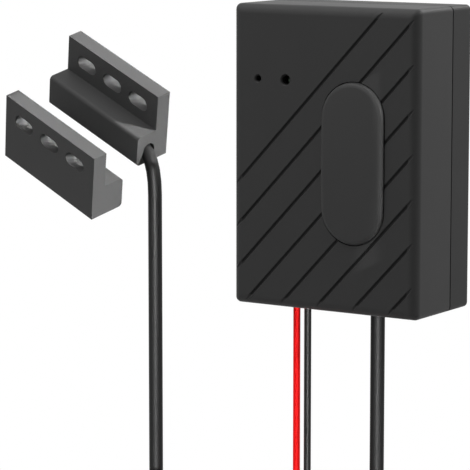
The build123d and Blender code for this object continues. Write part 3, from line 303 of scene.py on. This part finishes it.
# The rear cover's plastic is the housing's own, made darker as painted shade for the light falling off
# towards the rear
shaded_rear_housing = material("rear_plastic_painted_shade", linear(45), 0.5, gloss=0.08, grain=0.35, bump=0.08, blotch=0.05)
pill = material("button_plastic", linear(53), 0.45, gloss=0.12, grain=0.3, bump=0.06, blotch=0.05)
sensor_plastic = material("sensor_plastic", linear(61), 0.6, gloss=0.1, grain=0.3, bump=0.1, blotch=0.06)
jacket = material("cable_jacket", linear(19), 0.5, gloss=0.12, grain=0.5, bump=0.02, blotch=0.04)
red_skin = material("red_insulation", linear((236, 16, 18)), 0.5, gloss=0.1, grain=0.5, bump=0.02,
                    blotch=0.04)
black_skin = material("black_insulation", linear(19), 0.5, gloss=0.12, grain=0.5, bump=0.02, blotch=0.04)
rubber = material("grommet_rubber", linear(30), 0.6, gloss=0.3, grain=0.4, bump=0.12)
nylon = material("tie_nylon", linear(28), 0.4, gloss=0.4, grain=0.4, bump=0.06)
steel = material("plated_steel", linear(190), 0.3, metal=1.0, grain=0.2, bump=0.05)
tin = material("tinned_metal", linear(205), 0.25, metal=1.0, grain=0.2, bump=0.06)
can_metal = material("shield_metal", linear(200), 0.35, metal=1.0, grain=0.25, bump=0.08)
aluminium = material("capacitor_sleeve", linear(150), 0.3, metal=0.6, grain=0.3, bump=0.04)
laminate = material("board_laminate", linear((26, 92, 54)), 0.3, gloss=0.5, grain=0.6, bump=0.06)
dark_laminate = material("module_laminate", linear((20, 34, 48)), 0.3, gloss=0.5, grain=0.6, bump=0.05)
relay_blue = material("relay_plastic", linear((36, 86, 168)), 0.35, gloss=0.5, grain=0.3, bump=0.05)
ferrite = material("ferrite", linear(62), 0.8, grain=0.25, bump=0.2)
epoxy = material("chip_epoxy", linear(34), 0.6, grain=0.2, bump=0.12)
ceramic = material("chip_ceramic", linear((160, 140, 112)), 0.5, grain=0.2, bump=0.08)
ivory = material("connector_nylon", linear((224, 220, 204)), 0.5, grain=0.3, bump=0.05)
blue_lens = material("blue_lens", linear((112, 120, 140)), 0.15, gloss=0.6, grain=0.5, bump=0.02)
green_lens = material("green_lens", linear((116, 136, 118)), 0.15, gloss=0.6, grain=0.5, bump=0.02)
core_skin = material("core_insulation", linear(210), 0.45, grain=0.4, bump=0.04)
resin = material("potting_resin", linear(26), 0.35, gloss=0.5, grain=1.5, bump=0.15)
magnet_nickel = material("magnet_nickel", linear(180), 0.2, metal=1.0, grain=0.3, bump=0.03)
reed_metal = material("reed_metal", linear(190), 0.25, metal=1.0, grain=0.3, bump=0.03)
reed_glass = material("reed_glass", linear((200, 226, 214)), 0.08, gloss=0.6, grain=0.8, bump=0.02)
reed_glass.node_tree.nodes["Principled BSDF"].inputs["Transmission Weight"].default_value = 0.8

FINISHES = {
    housing: ("front_cover",),
    shaded_rear_housing: ("rear_cover",),
    pill: ("push_button",),
    sensor_plastic: ("reed_housing", "magnet_housing"),
    rubber: ("wire_grommet", "cable_grommet"),
    nylon: ("wires_tie", "cable_tie", "strain_tie"),
    steel: ("housing_screws", "board_screws"),
    tin: ("relay_pins", "lamp_legs", "red_wire_bare_end", "black_wire_bare_end"),
    can_metal: ("radio_can", "usb_shell", "switch_plate"),
    aluminium: ("supply_capacitors",),
    laminate: ("circuit_board",),
    dark_laminate: ("radio_module",),
    relay_blue: ("relay",),
    ferrite: ("power_inductor",),
    epoxy: ("regulator_chip", "relay_transistor", "relay_diode", "switch_case", "switch_plunger",
            "lamp_spacers", "usb_tongue"),
    ceramic: ("chip_parts",),
    ivory: ("wire_header", "wire_plug", "sensor_header", "sensor_plug"),
    blue_lens: ("wifi_lamp",),
    green_lens: ("door_lamp",),
    core_skin: ("cable_cores", "reed_cores"),
    resin: ("reed_resin", "magnet_resin"),
    magnet_nickel: ("bar_magnet",),
    reed_metal: ("reed_blades",),
    reed_glass: ("reed_glass",),
    jacket: ("sensor_cable", "sensor_cable_coil", "box_cable"),
    red_skin: ("red_wire", "red_wire_coil", "red_wire_tail"),
    black_skin: ("black_wire", "black_wire_coil", "black_wire_tail"),
}

for finish, names in FINISHES.items():
    for name in names:
        mesh = nodes[name].data
        mesh.materials.clear()
        mesh.materials.append(finish)
        mesh.shade_smooth()
        mesh.set_sharp_from_angle(angle=SHARP_ANGLE)

for line, finish in ((sensor_cable, jacket), (red_wire, red_skin), (black_wire, black_skin)):
    line.data.materials.append(finish)


# The floor, the backdrop and the lamps, in metres

FLOOR_DROP = 12 * MM
FLOOR_REACH = 0.34
FLOOR_FADE_START = 0.10
FLOOR_FADE_END = 0.32
AMBIENT = 0.06


def backdrop_rays(tree):
    """One for the rays to which the white backdrop shows: the camera's, reflected ones and those
    through glass."""
    path = tree.nodes.new("ShaderNodeLightPath")
    shown = path.outputs["Is Camera Ray"]
    for kind in ("Is Glossy Ray", "Is Transmission Ray"):
        either = tree.nodes.new("ShaderNodeMath")
        either.operation = "MAXIMUM"
        tree.links.new(shown, either.inputs[0])
        tree.links.new(path.outputs[kind], either.inputs[1])
        shown = either.outputs[0]
    return shown


def fade_to_backdrop(paper, centre):
    """Turn the floor's paper into the white backdrop, well away from the object."""
    tree = paper.node_tree
    place = tree.nodes.new("ShaderNodeTexCoord")
    away = tree.nodes.new("ShaderNodeVectorMath")
    away.operation = "DISTANCE"
    away.inputs[1].default_value = centre
    tree.links.new(place.outputs["Object"], away.inputs[0])
    far = tree.nodes.new("ShaderNodeMapRange")
    far.interpolation_type = "SMOOTHSTEP"
    far.inputs["From Min"].default_value = FLOOR_FADE_START
    far.inputs["From Max"].default_value = FLOOR_FADE_END
    tree.links.new(away.outputs["Value"], far.inputs["Value"])
    seen = tree.nodes.new("ShaderNodeMath")
    seen.operation = "MULTIPLY"
    tree.links.new(far.outputs["Result"], seen.inputs[0])
    tree.links.new(backdrop_rays(tree), seen.inputs[1])
    white = tree.nodes.new("ShaderNodeEmission")
    mix = tree.nodes.new("ShaderNodeMixShader")
    tree.links.new(seen.outputs[0], mix.inputs["Fac"])
    tree.links.new(tree.nodes["Principled BSDF"].outputs["BSDF"], mix.inputs[1])
    tree.links.new(white.outputs["Emission"], mix.inputs[2])
    tree.links.new(mix.outputs["Shader"], tree.nodes["Material Output"].inputs["Surface"])


def make_floor():
    """A plain pale floor below the object."""
    data = bpy.data.meshes.new("floor")
    shape = bmesh.new()
    low, high = cad_box
    centre = ((low[0] + high[0]) / 2, (low[1] + high[1]) / 2, low[2] - FLOOR_DROP)
    bmesh.ops.create_grid(shape, x_segments=1, y_segments=1, size=FLOOR_REACH)
    bmesh.ops.translate(shape, verts=shape.verts, vec=centre)
    shape.to_mesh(data)
    shape.free()
    floor = bpy.data.objects.new("floor", data)
    scene.collection.objects.link(floor)
    paper = material("floor_paper", linear(235), 0.9, gloss=0.1, grain=2.0, bump=0.02, blotch=0.01)
    fade_to_backdrop(paper, centre)
    data.materials.append(paper)


def make_world():
    """A white backdrop, which lights the object only a little."""
    world = bpy.data.worlds.new("studio")
    scene.world = world
    world.use_nodes = True
    tree = world.node_tree
    seen = tree.nodes["Background"]
    seen.inputs["Color"].default_value = (1, 1, 1, 1)
    seen.inputs["Strength"].default_value = 1.0
    lit = tree.nodes.new("ShaderNodeBackground")
    lit.inputs["Color"].default_value = (1, 1, 1, 1)
    lit.inputs["Strength"].default_value = AMBIENT
    mix = tree.nodes.new("ShaderNodeMixShader")
    tree.links.new(backdrop_rays(tree), mix.inputs["Fac"])
    tree.links.new(lit.outputs["Background"], mix.inputs[1])
    tree.links.new(seen.outputs["Background"], mix.inputs[2])
    tree.links.new(mix.outputs["Shader"], tree.nodes["World Output"].inputs["Surface"])


# Each lamp's name, place, target, width, height, beam angle in degrees and power
LAMPS = (
    ("over", (-0.15, -0.2, 0.58), (0.0, -0.02, 0.0), 0.5, 0.5, 180, 3.68),
    ("left_front", (-0.25, -0.8, 0.38), (-0.03, -0.02, 0.0), 0.4, 0.4, 180, 2.72),
    ("behind", (0.09, 0.54, 0.35), (0.0, -0.02, 0.02), 0.2, 0.2, 180, 0.96),
    ("right_behind", (0.40, 0.24, 0.34), (0.03, -0.02, 0.0), 0.25, 0.25, 180, 3.36),
    ("reed", (-0.0479, -0.0085, 0.0324), (-0.1024, -0.0098, 0.0074), 0.019, 0.051, 3, 0.0124),
    ("magnet", (-0.0423, -0.0285, 0.0210), (-0.0968, -0.0298, -0.0040), 0.021, 0.048, 3, 0.0139),
    ("pill_right", (0.0425, -0.0383, 0.0108), (0.0206, -0.0332, 0.0), 0.0016, 0.05, 2, 0.00032),
    ("left_cable", (-0.0387, -0.0656, -0.056), (-0.0715, -0.0154, -0.056), 0.0024, 0.096, 2, 0.00216),
    ("red_wire", (0.0017, -0.0470, -0.075), (-0.0202, -0.0135, -0.075), 0.0010, 0.056, 2, 0.00016),
    ("black_wire", (0.0056, -0.0470, -0.075), (-0.0163, -0.0135, -0.075), 0.0010, 0.056, 2, 0.00072),
    ("box_cable", (0.0302, -0.0470, -0.075), (0.0083, -0.0135, -0.075), 0.0024, 0.056, 2, 0.00128),
)

# The sensor pair's own directions, along it, towards the wall and up, and the slots of its halves, in
# millimetres
ALONG = Vector((0.9042, -0.1475, -0.4008))
BACK = Vector((0.2764, 0.9175, 0.2860))
UP = Vector((0.3256, -0.3694, 0.8704))
REED_PLACE = Vector((-93.0, -3.2, 3.9))
PAIR_DROP = 12.6
PAIR_DEPTH = 30.1
SLOT_PITCH = 12.4
SLOT_LEVEL = 16.9
SLOT_DEPTH = 2.45
SLOT_LAMP_WAY = (ALONG * 0.70 + BACK * 0.62 + UP * 0.35).normalized()
SLOT_LAMP_REACHES = {"reed": 14, "magnet": 9}
SLOT_LAMP = {"width": 0.0052, "height": 0.0042, "beam": 5, "power": 0.00014}


def make_lamp(name, place, target, width, height, beam, power):
    """A soft rectangular lamp that the camera doesn't see."""
    data = bpy.data.lights.new(name, "AREA")
    data.shape = "RECTANGLE"
    data.size = width
    data.size_y = height
    data.spread = radians(beam)
    data.energy = power
    lamp = bpy.data.objects.new(name, data)
    scene.collection.objects.link(lamp)
    lamp.location = place
    lamp.rotation_euler = (Vector(target) - Vector(place)).to_track_quat("-Z", "Y").to_euler()
    lamp.visible_camera = False


def make_slot_lamps():
    """A small lamp behind each screw slot of the sensor pair, which lights the slot's inner wall."""
    magnet_place = REED_PLACE - UP * PAIR_DROP - BACK * PAIR_DEPTH
    for half, place, depth in (("reed", REED_PLACE, -SLOT_DEPTH), ("magnet", magnet_place, SLOT_DEPTH)):
        for number in (-1, 0, 1):
            slot = place + ALONG * SLOT_PITCH * number + UP * SLOT_LEVEL + BACK * depth
            lamp_place = slot + SLOT_LAMP_WAY * SLOT_LAMP_REACHES[half]
            make_lamp(half + "_slot_" + str(number + 2), lamp_place * MM, slot * MM, **SLOT_LAMP)


make_floor()
make_world()
for lamp in LAMPS:
    make_lamp(*lamp)
make_slot_lamps()
bpy.context.view_layer.update()
